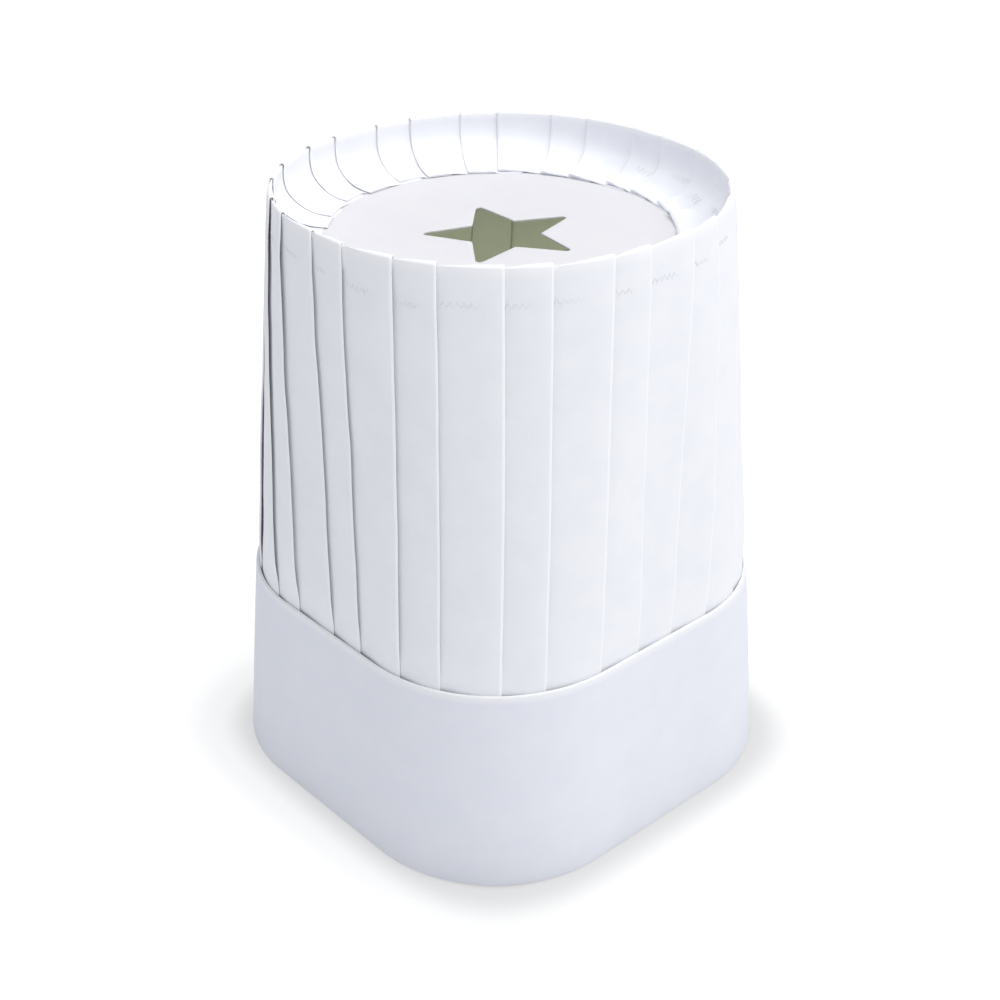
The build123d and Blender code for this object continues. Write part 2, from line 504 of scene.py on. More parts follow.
# The card is white; its colour is kept grey, a painted shade for the dimmer light in the hollow under the rim
DISC_CARD = SheetFinish("disc_board", (0.72, 0.713, 0.733), (0.705, 0.698, 0.722), 0.2, 0.02 * MM, "Object")
CLOSURE_PAPER = SheetFinish("closure_paper", (0.82, 0.828, 0.885), (0.8, 0.81, 0.87), coordinates="Object")
TOWELLING = ClothFinish("absorbent_towelling", (0.84, 0.85, 0.85), (0.72, 0.74, 0.74), 700.0)
SEAM_TAPE = ClothFinish("seam_tape_weave", (0.82, 0.82, 0.8), (0.7, 0.7, 0.68), 1600.0)
FASTENER = ClothFinish("fastener_knit", (0.85, 0.85, 0.84), (0.7, 0.7, 0.69), 2200.0)
THREAD = ThreadFinish("white_thread", (0.92, 0.92, 0.94), (0.86, 0.86, 0.885))


def dress(obj: Piece, finish: Finish) -> None:
    """Give obj one finish all over.

    Args:
        obj: The piece.
        finish: Its finish.
    """
    obj.data.materials.clear()
    obj.data.materials.append(finish.material())
    LOG.info("%s dressed as %s", obj.name, finish.name)


def place_on(obj: Piece, finish: Finish, body: Body, slot: str, *nodes: str) -> None:
    """Dress a piece, attach it to its body, hide the CAD nodes it stands for, and report it.

    Args:
        obj: The piece.
        finish: Its finish.
        body: The body it moves with.
        slot: Not used.
        *nodes: The CAD nodes it stands for.
    """
    dress(obj, finish)
    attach(obj, body.value)
    if nodes:
        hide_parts(*nodes)
    LOG.info("%s rides on %s, %d faces", obj.name, body.value, len(obj.data.polygons))


@dataclass
class ToqueForm:
    """Plan and taper of the band and the wall, shared by every piece that follows them."""

    height: float
    band_height: float
    base_half: float
    base_corner: float = 57.0 * MM
    band_top_half: float = 83.9 * MM
    band_top_corner: float = 57.3 * MM
    rim_half: float = 78.05 * MM
    rim_corner: float = 73.5 * MM
    wall_inset: float = 1.5 * MM

    @classmethod
    def from_frame(cls) -> ToqueForm:
        """Read the heights and the base width from the CAD nodes."""
        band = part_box("headband_cover")[1]
        return cls(height=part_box("pleated_wall")[1].z, band_height=band.z, base_half=band.x)

    def radius(self, angle: Array, half: Array, corner: Array) -> Array:
        """Distance from the axis to a rounded square.

        Args:
            angle: Direction from the axis, in radians.
            half: Half the side.
            corner: The corner radius.

        Returns:
            The distance in each direction.
        """
        quarter = np.pi / 2
        a = np.abs((angle + quarter / 2) % quarter - quarter / 2)
        centre = half - corner
        toward = centre * (np.cos(a) + np.sin(a))
        arc = toward + np.sqrt(np.maximum(corner**2 - centre**2 * (1 - np.sin(2 * a)), 0.0))
        return np.where(half * np.tan(a) <= centre, half / np.cos(a), arc)

    def wall_plan(self, z: Array) -> Pair:
        """Plan of the wall's outermost ply.

        Args:
            z: The height.

        Returns:
            Half the side, and the corner radius.
        """
        share = (z - self.band_height) / (self.height - self.band_height)
        half, corner = self.band_top_half - self.wall_inset, self.band_top_corner - self.wall_inset
        return half + (self.rim_half - half) * share, corner + (self.rim_corner - corner) * share

    def band_points(self, angle: Array, z: Array, depth: Array) -> Array:
        """Points of the band at a depth below its outer face.

        Args:
            angle: Directions from the axis.
            z: Heights.
            depth: Depths.

        Returns:
            The points.
        """
        share = z / self.band_height
        half = self.base_half + (self.band_top_half - self.base_half) * share
        corner = self.base_corner + (self.band_top_corner - self.base_corner) * share
        return polar(self.radius(angle, half - depth, corner - depth), angle, z)

    def wall_points(self, angle: Array, z: Array, depth: Array) -> Array:
        """Points of the wall at a depth below its outermost ply."""
        half, corner = self.wall_plan(z)
        return polar(self.radius(angle, half - depth, corner - depth), angle, z)


@dataclass
class PleatedWall:
    """One sheet folded into pairs of knife pleats, up the outside, over the rim and inwards as a ledge.

    Seen from above, each panel starts under its neighbour and ends counter-clockwise in a free folded edge.
    """

    form: ToqueForm
    pairs: int = 14
    first_edge: float = math.radians(-41.6)
    narrow: float = math.radians(10.8)
    ply: float = 0.26 * MM
    tight_step: float = 0.34 * MM
    stack: float = 0.74 * MM
    slack: float = 0.1 * MM
    flat_width: float = 0.896
    margin_z: float = 66.0 * MM
    outer_rows: int = 46
    rim_roll: float = 0.8 * MM
    rim_rows: int = 7
    inner_rows: int = 20
    front_corner: float = math.radians(-49.0)
    # Direction in which the pleats' ends stand most freely off the disc
    loose_side: float = math.radians(72.0)
    gather_deg: float = 7.0
    spread_deg: float = 1.2
    stitch_z: float = 217.5 * MM
    # Pleats that lean away from the general sweep, in degrees at the band
    leaning: tuple = ((2, 0.8), (3, 3.8), (4, 1.3), (5, 3.0), (23, -1.8), (24, -1.0))
    # The fold down inside: radius and height of the curve's four control points
    fold_curve: tuple = ((77.4, 229.0), (77.0, 217.3), (73.6, 212.2), (61.5, 212.0))
    # Shallow waves: turns round the hat, height in mm, phase and size in mm
    waves: tuple = ((3, 90.0, 0.4, 0.22), (7, 61.0, 2.1, 0.14), (13, 37.0, 4.0, 0.08), (29, 23.0, 1.3, 0.05))
    pucker: float = 0.15

    def __post_init__(self) -> None:
        """Draw the small differences between the pleats, and lay out the rows and columns."""
        rng = np.random.default_rng(SEED)
        self.count = 2 * self.pairs
        firsts = self.first_edge + 2 * np.pi / self.pairs * np.arange(self.pairs)
        self.edges = np.sort(np.concatenate([firsts, firsts + self.narrow]))
        self.edges = self.edges + np.radians(rng.uniform(-0.2, 0.2, self.count))
        self.lean = rng.normal(0, 0.2, self.count)
        for pleat, lean in self.leaning:
            self.lean[pleat] += lean
        self.sway = rng.normal(0, 0.35, self.count)
        self.gape = rng.uniform(0.45, 0.95, self.count) * MM
        self.puff = rng.uniform(-0.1, 0.35, self.count) * MM
        self.drop = rng.uniform(0.0, 0.35, self.count) * MM
        self.end_lift = rng.uniform(0.25, 1.0, self.count) * MM
        self.end_reach = rng.normal(0, 0.6, self.count) * MM
        self._rows()
        # Stretch and place of each column of one pleat, in the order of the sheet
        stretches = {"tucked": (0.12, 0.6),
                     "panel": (0.0, 0.07, 0.16, 0.27, 0.39, 0.51, 0.63, 0.75, 0.87, 0.96),
                     "free_fold": (0.25, 0.5, 0.75), "return": (0.08, 0.5, 0.88), "hidden_fold": (0.5,)}
        self.columns = [(kind, s) for kind, places in stretches.items() for s in places]

    def _rows(self) -> None:
        """Lay out the rows of the sheet, from the margin in the band to the end of the ledge."""
        form = self.form
        top = form.height - self.ply / 2
        outer_z = np.concatenate([np.linspace(self.margin_z, form.band_height - 1 * MM, 4),
                                  np.linspace(form.band_height, top - self.rim_roll, self.outer_rows)])
        turn = np.linspace(0, np.pi, self.rim_rows + 2)[1:-1]
        t = np.linspace(0, 1, self.inner_rows)
        weights = np.stack([(1 - t) ** 3, 3 * t * (1 - t) ** 2, 3 * t**2 * (1 - t), t**3])
        curve = weights.T @ (np.array(self.fold_curve) * MM)
        before = np.zeros(len(outer_z) + len(turn))
        self.z = np.concatenate([outer_z, top - self.rim_roll * (1 - np.sin(turn)), curve[:, 1]])
        self.inset = self.rim_roll * np.concatenate([0 * outer_z, 1 - np.cos(turn), 0 * t + 2])
        self.plan_share = np.concatenate([before + 1, 1 - smooth(t / 0.6)])
        self.round_radius = np.concatenate([before, curve[:, 0]])
        # 0 at the foot of the visible wall and 1 at the rim; then 1 to 2 from the rim to the ledge's end
        climb = np.maximum(0, (outer_z - form.band_height) / (top - form.band_height))
        self.rise = np.concatenate([climb, np.ones(len(turn)), 1 + t])

    def _radius(self, angle: Array, shift: int = 0) -> Pair:
        """Find the sheet's outermost level.

        Args:
            angle: Directions from the axis, one row for each row of the sheet.
            shift: How many rows further along the sheet to read.

        Returns:
            The radii and the heights.
        """
        rows = np.clip(np.arange(len(self.z)) + shift, 0, len(self.z) - 1)
        z = self.z[rows][:, None]
        half, corner = self.form.wall_plan(np.minimum(z, self.form.height))
        plan = self.form.radius(angle, half, corner) - self.inset[rows][:, None]
        share = self.plan_share[rows][:, None]
        return share * plan + (1 - share) * self.round_radius[rows][:, None], z

    def surface(self, angle: Array) -> Pair:
        """Points and outward directions of the sheet's outermost level.

        Args:
            angle: Directions from the axis, one row for each row of the sheet.

        Returns:
            The points, and the unit directions that the exposed side faces.
        """
        r, z = self._radius(angle)
        step = 1e-4
        slope = (self._radius(angle + step)[0] - self._radius(angle - step)[0]) / (2 * step)
        cos, sin = np.cos(angle), np.sin(angle)
        around = np.stack([slope * cos - r * sin, slope * sin + r * cos, 0 * r], axis=-1)
        (r_up, z_up), (r_down, z_down) = self._radius(angle, 1), self._radius(angle, -1)
        out = np.cross(around, polar(r_up - r_down, angle, z_up - z_down))
        out /= np.linalg.norm(out, axis=-1, keepdims=True)
        return polar(r, angle, z), out

    def edge_angles(self) -> Array:
        """Find the direction of each free edge on each row.

        Returns:
            The directions, with one column per pleat and the first pleat's again at the end.
        """
        edges = np.append(self.edges, self.edges[0] + 2 * np.pi)
        lean, sway = np.append(self.lean, self.lean[0]), np.append(self.sway, self.sway[0])
        down = np.clip(1 - self.rise, 0, 1)[:, None]
        from_front = edges - self.front_corner
        gathered = -self.gather_deg * np.sin(from_front) + self.spread_deg * (1 - np.cos(from_front))
        return edges + np.radians(gathered * down + lean * down + sway * np.sin(np.pi * down))

    def build(self) -> Piece:
        """Make the pleated sheet.

        Returns:
            The piece.
        """
        rows, rise = len(self.z), self.rise
        outside = rise <= 1.0
        bounds = self.edge_angles()
        mean_radius = self._radius(np.tile(np.linspace(0, 2 * np.pi, 73)[:-1], (rows, 1)))[0].mean(1)
        tuck = (self.flat_width / (2 * self.count) - np.pi * mean_radius / self.count) / mean_radius
        stack = self.stack * np.where(outside, 0.8 + 0.2 * smooth(rise / 0.12), 0.88)
        pressed = np.where(outside, smooth(rise / 0.1) * (0.35 + 0.65 * smooth((1.0 - rise) / 0.12)),
                           0.12 + 0.13 * np.sin(np.pi * np.clip(rise - 1.0, 0, 1)))
        ending = np.where(outside, 0.0, smooth((rise - 1.62) / 0.38))
        under = self.tight_step + self.slack
        angles, levels = [], []
        for j in range(self.count):
            start, end = bounds[:, j], bounds[:, j + 1]
            width, own = end - start, (j + 1) % self.count
            # The ends stand off the disc most on the loose side
            loose = 0.15 + 1.5 * np.clip(np.cos(end - self.loose_side), 0, 1) ** 2
            gape = self.gape[own] * pressed + self.end_lift[own] * ending * loose
            clear = np.clip(1 - tuck / width, 0.12, 0.9)
            drop = self.drop[own] * (0.35 + 0.65 * pressed)
            for kind, s in self.columns:
                if kind == "tucked":
                    angle, level = start - tuck * (1 - s), -stack - drop * s
                elif kind == "panel":
                    angle = start + width * s
                    level = (-(stack + drop) * (1 - np.minimum(s / clear, 1.0))
                             + gape * smooth((s - 0.45) / 0.55)
                             + self.puff[own] * math.sin(math.pi * s) * pressed)
                elif kind == "free_fold":
                    turn = math.pi * s
                    angle = end + self.tight_step / 2 * math.sin(turn) / mean_radius
                    level = gape - self.tight_step / 2 * (1 - math.cos(turn))
                elif kind == "return":
                    angle, level = end - tuck * s, gape * (1 - s) - self.tight_step - self.slack * s
                else:
                    angle, level = end - tuck - 2 * self.slack / mean_radius, -(under + stack) / 2
                angles.append(angle)
                levels.append(level)
        self.angle, self.level = np.stack(angles, axis=1), np.stack(levels, axis=1)
        points, out = self.surface(self.angle)
        self.level = self.level + self._ripple() * pressed[:, None]
        points = self._trim_ends(points + out * self.level[..., None])
        steps = np.linalg.norm(np.diff(points, axis=0), axis=-1).mean(1)
        uvs, _, self.flat_height = lay_flat(points, rows // 2, steps)
        piece = new_object("pleated_sheet", points, grid_faces(rows, self.angle.shape[1], True), uvs)
        # Painted highlight on each free folded edge and, weaker, round the rim
        folded = np.array([float(kind == "free_fold") for kind, _ in self.columns] * self.count)
        rim = 0.6 * np.exp(-(((rise - 1.0) / 0.012) ** 2))
        mark_fold_highlights(piece, np.maximum(folded[None, :], rim[:, None]))
        thicken(piece, self.ply)
        return piece

    def _ripple(self) -> Array:
        """Long, shallow waves of the sheet, the same through all its plies, and the stitches' pucker.

        Returns:
            How far each point is raised.
        """
        angle, z = self.angle, self.z[:, None] / MM
        waves = 0.0
        for turns, tall, phase, size in self.waves:
            waves = waves + size * np.sin(turns * angle + phase) * np.sin(2 * np.pi * z / tall + 1.7 * phase)
        near_stitch = np.exp(-(((z - self.stitch_z / MM) / 5.0) ** 2))
        return (waves + self.pucker * near_stitch * np.sin(83 * angle + 3 * np.sin(5 * angle))) * MM

    def _trim_ends(self, points: Array) -> Array:
        """Let the pleats' ends on the disc differ in length.

        Args:
            points: The sheet's points.

        Returns:
            The points, with those near the ends moved.
        """
        share = np.where(self.rise > 1.5, smooth((self.rise - 1.5) / 0.5), 0.0)[:, None]
        reach = np.repeat(np.roll(self.end_reach, -1), len(self.columns))[None, :] * share
        return points - polar(1.0, self.angle, 0.0) * reach[..., None]

    def on_panel(self, pleat: int, s: Array, height: Array, side: Facing) -> Pair:
        """Points and directions on the exposed face of one panel.

        Args:
            pleat: The panel's number.
            s: Places across the panel, 0 at its tucked side and 1 at its free edge.
            height: Heights of the points.
            side: The outside of the wall or the ply inside the rim.

        Returns:
            The points on the face, and the directions that it faces.
        """
        panel = [i for i, (kind, _) in enumerate(self.columns) if kind == "panel"]
        places = [self.columns[i][1] for i in panel]
        rows = np.flatnonzero((self.rise <= 1.0) == (side is Facing.OUTSIDE))
        rows = rows[np.argsort(self.z[rows])]
        row = np.interp(height, self.z[rows], rows.astype(float))
        column = np.interp(s, places, panel) + pleat * len(self.columns)
        i, j = np.floor(row).astype(int), np.floor(column).astype(int)
        i, j = np.minimum(i, len(self.z) - 2), np.minimum(j, self.angle.shape[1] - 2)
        points, out = self.surface(self.angle)
        fi, fj = (row - i)[:, None], (column - j)[:, None]

        def mix(field: Array) -> Array:
            """Read a field of the sheet between its rows and columns.

            Args:
                field: The field.

            Returns:
                Its value at each place.
            """
            low = field[i, j] * (1 - fj) + field[i, j + 1] * fj
            high = field[i + 1, j] * (1 - fj) + field[i + 1, j + 1] * fj
            return low * (1 - fi) + high * fi

        facing = mix(out)
        facing /= np.linalg.norm(facing, axis=1, keepdims=True)
        return mix(points + out * self.level[..., None]) + facing * self.ply / 2, facing


@dataclass
class RimStitching:
    """Zig-zag thread through the wall below its rim, seen on the outside and on the ply inside."""

    wall: PleatedWall
    thread: float = 0.14 * MM
    tall: float = 2.0 * MM
    pitch: float = 1.9 * MM
    inner_drop: float = 1.6 * MM

    def build(self) -> Piece:
        """Make every run of the zig-zag.

        Returns:
            The piece.
        """
        rng = np.random.default_rng(SEED + 1)
        widths = np.diff(self.wall.edge_angles()[-1]) * self.wall.form.rim_half
        tubes = []
        for side in Facing:
            for pleat, width in enumerate(widths):
                start, end = rng.uniform(0.02, 0.08), rng.uniform(0.58, 0.8)
                centre = self.wall.stitch_z + rng.normal(0, 0.7) * MM
                centre -= self.inner_drop if side is Facing.INSIDE else 0.0
                tilt = rng.normal(0, 0.5) * MM
                count = max(3, int((end - start) * width / self.pitch * 2))
                turns = np.arange(count)
                s = np.linspace(start, end, count)
                zig = centre + tilt * (s - 0.5) + self.tall / 2 * np.where(turns % 2, 1, -1)
                fine = np.linspace(0, count - 1, 4 * (count - 1) + 1)
                s = np.interp(fine, turns, s)
                points, facing = self.wall.on_panel(pleat, s, np.interp(fine, turns, zig), side)
                # The thread dips at each needle hole and sinks where the run ends
                dip = np.abs((fine + 0.5) % 1.0 - 0.5)
                lift = self.thread * (1.3 * dip - 0.35 - 1.3 * smooth((s - end + 0.25) / 0.25))
                tubes.append(tube(points + facing * lift[:, None], facing, self.thread))
        return join_tubes("rim_zigzag", tubes)


@dataclass
class Headband:
    """The band's cover: one strip, turned in at the top, folded under at the bottom and up inside."""

    form: ToqueForm
    ply: float = 0.34 * MM
    outer_depth: float = 0.2 * MM
    inner_depth: float = 3.5 * MM
    inner_top: float = 74.0 * MM
    hem_depth: float = 1.2 * MM
    foot_height: float = 1.5 * MM
    columns: int = 420
    overlap_x: float = -3.0 * MM
    overlap_end_x: float = 46.0 * MM
    overlap_step: float = 0.3 * MM
    # How far the painted highlight reaches from the top and foot edges, and how softly it fades
    top_highlight: float = 1.1 * MM
    foot_highlight: float = 0.9 * MM
    highlight_fade: float = 0.7 * MM

    def __post_init__(self) -> None:
        """Find the direction of the edge of the overlap."""
        self.edge = math.atan2(self.form.base_half, self.overlap_x)

    def path(self) -> Pair:
        """Draw the strip's section, from its inner edge to the end of the hem.

        Returns:
            The heights, and the depths below the band's outer face.
        """
        low, top = self.ply / 2, self.form.band_height - self.ply / 2
        inner = np.linspace(self.inner_top, self.foot_height + low, 14)
        turn = np.linspace(0, np.pi, 13)[1:-1]
        middle, reach = (self.inner_depth + self.outer_depth) / 2, (self.inner_depth - self.outer_depth) / 2
        roll = (self.hem_depth - self.outer_depth) / 2
        outer = np.linspace(self.foot_height + low, top - roll, 30)
        over = np.linspace(0, np.pi, 9)[1:]
        z = np.concatenate([inner, low + self.foot_height * (1 - np.sin(turn)),
                            outer, top - roll * (1 - np.sin(over))])
        depth = np.concatenate([0 * inner + self.inner_depth, middle + reach * np.cos(turn),
                                0 * outer + self.outer_depth, self.outer_depth + roll * (1 - np.cos(over))])
        return z, depth

    def angles(self) -> Array:
        """Space the columns, with some close together at the edge of the overlap at the back.

        Returns:
            The directions from the axis.
        """
        even = np.linspace(0, 2 * np.pi, self.columns, endpoint=False)
        near = np.abs((even - self.edge + np.pi) % (2 * np.pi) - np.pi) < 2.5 * np.pi / self.columns
        extra = self.edge + np.array([-0.012, -0.0035, -0.0012, 0.0012, 0.0035, 0.012])
        return np.sort(np.concatenate([even[~near], extra]))

    def _recess(self, angle: Array) -> Array:
        """Depth that the under end of the strip lies below the over end, at the back."""
        share = (self.edge - angle) * self.form.base_half / (self.overlap_end_x - self.overlap_x)
        return np.where((share > 0) & (share < 1), self.overlap_step * (1 - smooth(share)), 0.0)

    def _wave(self, angle: Array, z: Array) -> Array:
        """Slow waves of the band, none at its foot.

        Args:
            angle: Directions from the axis.
            z: Heights.

        Returns:
            How far each point is moved out.
        """
        share = z / self.form.band_height
        low = 0.22 * np.sin(2 * angle + 0.6) * np.sin(np.pi * share)
        high = 0.1 * np.sin(5 * angle + 1.9) * np.sin(2 * np.pi * share + 0.4) * share
        return (low + high) * MM

    def build(self) -> Piece:
        """Make the cover.

        Returns:
            The piece.
        """
        z, depth = self.path()
        grid, tall = np.meshgrid(self.angles(), z)
        deep = depth[:, None]
        outer = smooth((self.inner_depth - deep) / (self.inner_depth - self.outer_depth))
        deep = deep + self._recess(grid) * outer - self._wave(grid, tall)
        points = self.form.band_points(grid, tall, deep)
        steps = np.linalg.norm(np.diff(points[:, 0], axis=0), axis=1)
        uvs, self.girth, self.strip_width = lay_flat(points, 30, steps)
        piece = new_object("folded_headband", points, grid_faces(*grid.shape, True), uvs)
        # Painted highlight along the folded top edge, and at half strength along the foot
        ridge = np.clip((z - (self.form.band_height - self.top_highlight)) / self.highlight_fade, 0, 1)
        foot = 0.5 * np.clip((self.foot_highlight - z) / self.highlight_fade, 0, 1)
        mark_fold_highlights(piece, np.broadcast_to(np.maximum(ridge, foot)[:, None], grid.shape))
        thicken(piece, self.ply)
        return piece


@dataclass
class Sweatband:
    """Absorbent strip inside the forehead half of the band, soft at its edges, and its row of stitches."""

    form: ToqueForm
    face_depth: float = 3.85 * MM
    thickness: float = 1.5 * MM
    low: float = 5.0 * MM
    high: float = 45.0 * MM
    back_y: float = -4.0 * MM
    columns: int = 220
    lap_points: int = 48
    squareness: float = 0.28
    soft_end: float = 0.03
    quilting: float = 0.06 * MM
    stitch: float = 2.6 * MM
    stitch_gap: float = 1.1 * MM
    stitch_below: float = 4.2 * MM
    thread: float = 0.14 * MM

    def __post_init__(self) -> None:
        """Lay out the directions along the strip, from its left end to its right end."""
        spare = math.asin(abs(self.back_y) / self.form.base_half) + 0.01
        self.angle = np.linspace(np.pi + spare, 2 * np.pi - spare, self.columns)
        self.stitch_z = self.high - self.stitch_below

    def build(self) -> Piece:
        """Make the padded strip.

        Returns:
            The piece.
        """
        angle, count = self.angle, self.lap_points
        lap = np.linspace(0, 2 * np.pi, count, endpoint=False)
        across, through = (np.sign(v) * np.abs(v) ** self.squareness for v in (np.cos(lap), np.sin(lap)))
        z = self.low + (self.high - self.low) / 2 * (1 + across)
        groove = np.exp(-(((self.stitch_z - z) / (1.3 * MM)) ** 2))
        depth = self.face_depth + self.thickness / 2 * (1 + through * (1 - 0.35 * groove * (through > 0)))
        centre = self.face_depth + self.thickness / 2
        ends = smooth((angle - angle[0]) / self.soft_end) * smooth((angle[-1] - angle) / self.soft_end)
        full = centre + (depth[:, None] - centre) * (0.25 + 0.75 * ends[None, :])
        quilt = self.quilting * np.sin(60 * angle)[None, :] * (through > 0)[:, None]
        grid = np.broadcast_to(angle, full.shape)
        points = self.form.band_points(grid, z[:, None] + 0 * grid, full + quilt)
        faces = [face[::-1] for face in grid_faces(count, self.columns, False)]
        last = (count - 1) * self.columns
        faces += [(last + j + 1, j + 1, j, last + j) for j in range(self.columns - 1)]
        faces.append(tuple(i * self.columns for i in range(count)))
        faces.append(tuple((count - i) * self.columns - 1 for i in range(count)))
        return face_outwards(new_object("padded_sweatband", points, faces))

    def stitches(self) -> Piece:
        """Make the row of stitches near the strip's top edge.

        Returns:
            The piece.
        """
        radius, angle = self.form.base_half, self.angle
        step = (self.stitch + self.stitch_gap) / radius
        share = np.linspace(0, 1, 7)
        depth = self.face_depth + self.thickness * 0.83 + self.thread * np.sin(np.pi * share)
        tubes = []
        for start in np.arange(angle[0] + 2 * step, angle[-1] - 2 * step, step):
            own = start + self.stitch / radius * share
            points = self.form.band_points(own, np.full(7, self.stitch_z), depth)
            tubes.append(tube(points, -polar(1.0, own, 0.0), self.thread))
        return join_tubes("sweatband_stitches", tubes)


@dataclass
class SeamTape:
    """Woven tape inside the back of the wall, over the seam of the sheet."""

    form: ToqueForm
    wall_depth: float = 1.9 * MM
    ply: float = 0.3 * MM
    ripple: float = 0.12 * MM

    def build(self) -> Piece:
        """Make the tape.

        Returns:
            The piece.
        """
        low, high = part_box("back_seam_tape")
        self.width, self.length = float(high.x - low.x), float(high.z - low.z)
        x, z = np.meshgrid(np.linspace(low.x, high.x, 13), np.linspace(low.z, high.z, 40))
        lift = self.ripple * np.sin(z / (9 * MM)) * np.cos(x / (6 * MM))
        points = self.form.wall_points(np.arctan2(self.form.rim_half, x), z, self.wall_depth + lift)
        uvs = np.stack([x, z], axis=-1).reshape(-1, 2)
        piece = new_object("seam_tape", points, grid_faces(*x.shape, False), uvs)
        thicken(piece, self.ply)
        return face_outwards(piece)


@dataclass
class CrownDisc:
    """Card disc with a star vent, cut from a star ring that is grown into a circle."""

    points: int = 5
    star_radius: float = 30.2 * MM
    inner_ratio: float = 0.44
    tip_rounding: float = 1.5 * MM
    first_tip: float = math.radians(-131.5)
    star_centre: tuple[float, float] = (2.9 * MM, -1.5 * MM)
    thickness: float = 0.7 * MM
    arc_steps: int = 6
    side_steps: int = 9
    rings: int = 14
    cut_bevel: float = 0.1 * MM

    def outline(self) -> list[Vector]:
        """Draw the star, with rounded tips and sharp inner corners.

        Returns:
            The points of its edge, counter-clockwise.
        """
        pitch = 2 * math.pi / self.points
        inner = self.inner_ratio * self.star_radius
        half = math.atan2(inner * math.sin(pitch / 2), self.star_radius - inner * math.cos(pitch / 2))
        centre = self.star_radius - self.tip_rounding / math.sin(half)
        sweep = math.pi / 2 - half

        def out(reach: float, turn: float) -> Vector:
            """A point at a distance and direction from the star's middle."""
            return Vector((reach * math.cos(turn), reach * math.sin(turn), 0.0))

        found = []
        for tip in (self.first_tip + pitch * i for i in range(self.points)):
            turns = (tip - sweep + 2 * sweep * k / self.arc_steps for k in range(self.arc_steps + 1))
            arc = [out(centre, tip) + out(self.tip_rounding, turn) for turn in turns]
            corner, after = out(inner, tip + pitch / 2), Matrix.Rotation(pitch, 3, "Z") @ arc[0]
            found += arc
            found += [arc[-1].lerp(corner, k / self.side_steps) for k in range(1, self.side_steps)]
            found += [corner.lerp(after, k / self.side_steps) for k in range(self.side_steps)]
        return found

    def build(self) -> Piece:
        """Make the disc.

        Returns:
            The piece.
        """
        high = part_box("crown_disc")[1]
        middle = Vector((*self.star_centre, high.z - self.thickness / 2))
        edge = self.outline()
        bpy.ops.object.select_all(action="DESELECT")
        bpy.ops.mesh.primitive_circle_add(vertices=len(edge), radius=1.0, fill_type="NOTHING")
        disc = bpy.context.object
        disc.name = disc.data.name = "crown_card"
        for vertex, place in zip(disc.data.vertices, edge):
            vertex.co = place + middle
        bpy.ops.object.mode_set(mode="EDIT")
        bpy.ops.mesh.select_mode(type="EDGE")
        bpy.ops.mesh.select_all(action="SELECT")
        bpy.ops.mesh.extrude_region()
        bpy.ops.object.mode_set(mode="OBJECT")
        for vertex in (v for v in disc.data.vertices if v.select):
            turn = math.atan2(vertex.co.y - middle.y, vertex.co.x - middle.x)
            vertex.co = (high.x * math.cos(turn), high.x * math.sin(turn), vertex.co.z)
        bpy.ops.object.mode_set(mode="EDIT")
        bpy.ops.mesh.select_all(action="SELECT")
        bpy.ops.mesh.normals_make_consistent(inside=False)
        bpy.ops.object.mode_set(mode="OBJECT")
        self._cut_rings(disc)
        self._sag(disc, high.x)
        if disc.data.polygons[0].normal.z < 0:
            disc.data.flip_normals()
        thicken(disc, self.thickness)
        cut = disc.modifiers.new("cut_edge", "BEVEL")
        cut.width, cut.segments, cut.limit_method = self.cut_bevel, 2, "ANGLE"
        cut.angle_limit = math.radians(50)
        apply_modifiers(disc)
        bpy.ops.object.shade_smooth_by_angle(angle=math.radians(35))
        return disc

    def _cut_rings(self, disc: Piece) -> None:
        """Split the radial edges so that the card can bend.

        Args:
            disc: The disc, still a flat sheet.
        """
        mesh = bmesh.new()
        mesh.from_mesh(disc.data)
        radial = [e for e in mesh.edges if len(e.link_faces) == 2]
        bmesh.ops.subdivide_edges(mesh, edges=radial, cuts=self.rings, use_grid_fill=True)
        mesh.to_mesh(disc.data)
        mesh.free()

    def _sag(self, disc: Piece, radius: float) -> None:
        """Bend the card slightly, most at its middle, and not at its glued edge.

        Args:
            disc: The disc, still a sheet.
            radius: The disc's radius.
        """
        for vertex in disc.data.vertices:
            r, a = math.hypot(vertex.co.x, vertex.co.y) / radius, math.atan2(vertex.co.y, vertex.co.x)
            free = max(0.0, 1 - (r / 0.85) ** 2)
            vertex.co.z += (0.3 + 0.25 * math.sin(2 * a + 0.7) * r) * free * MM


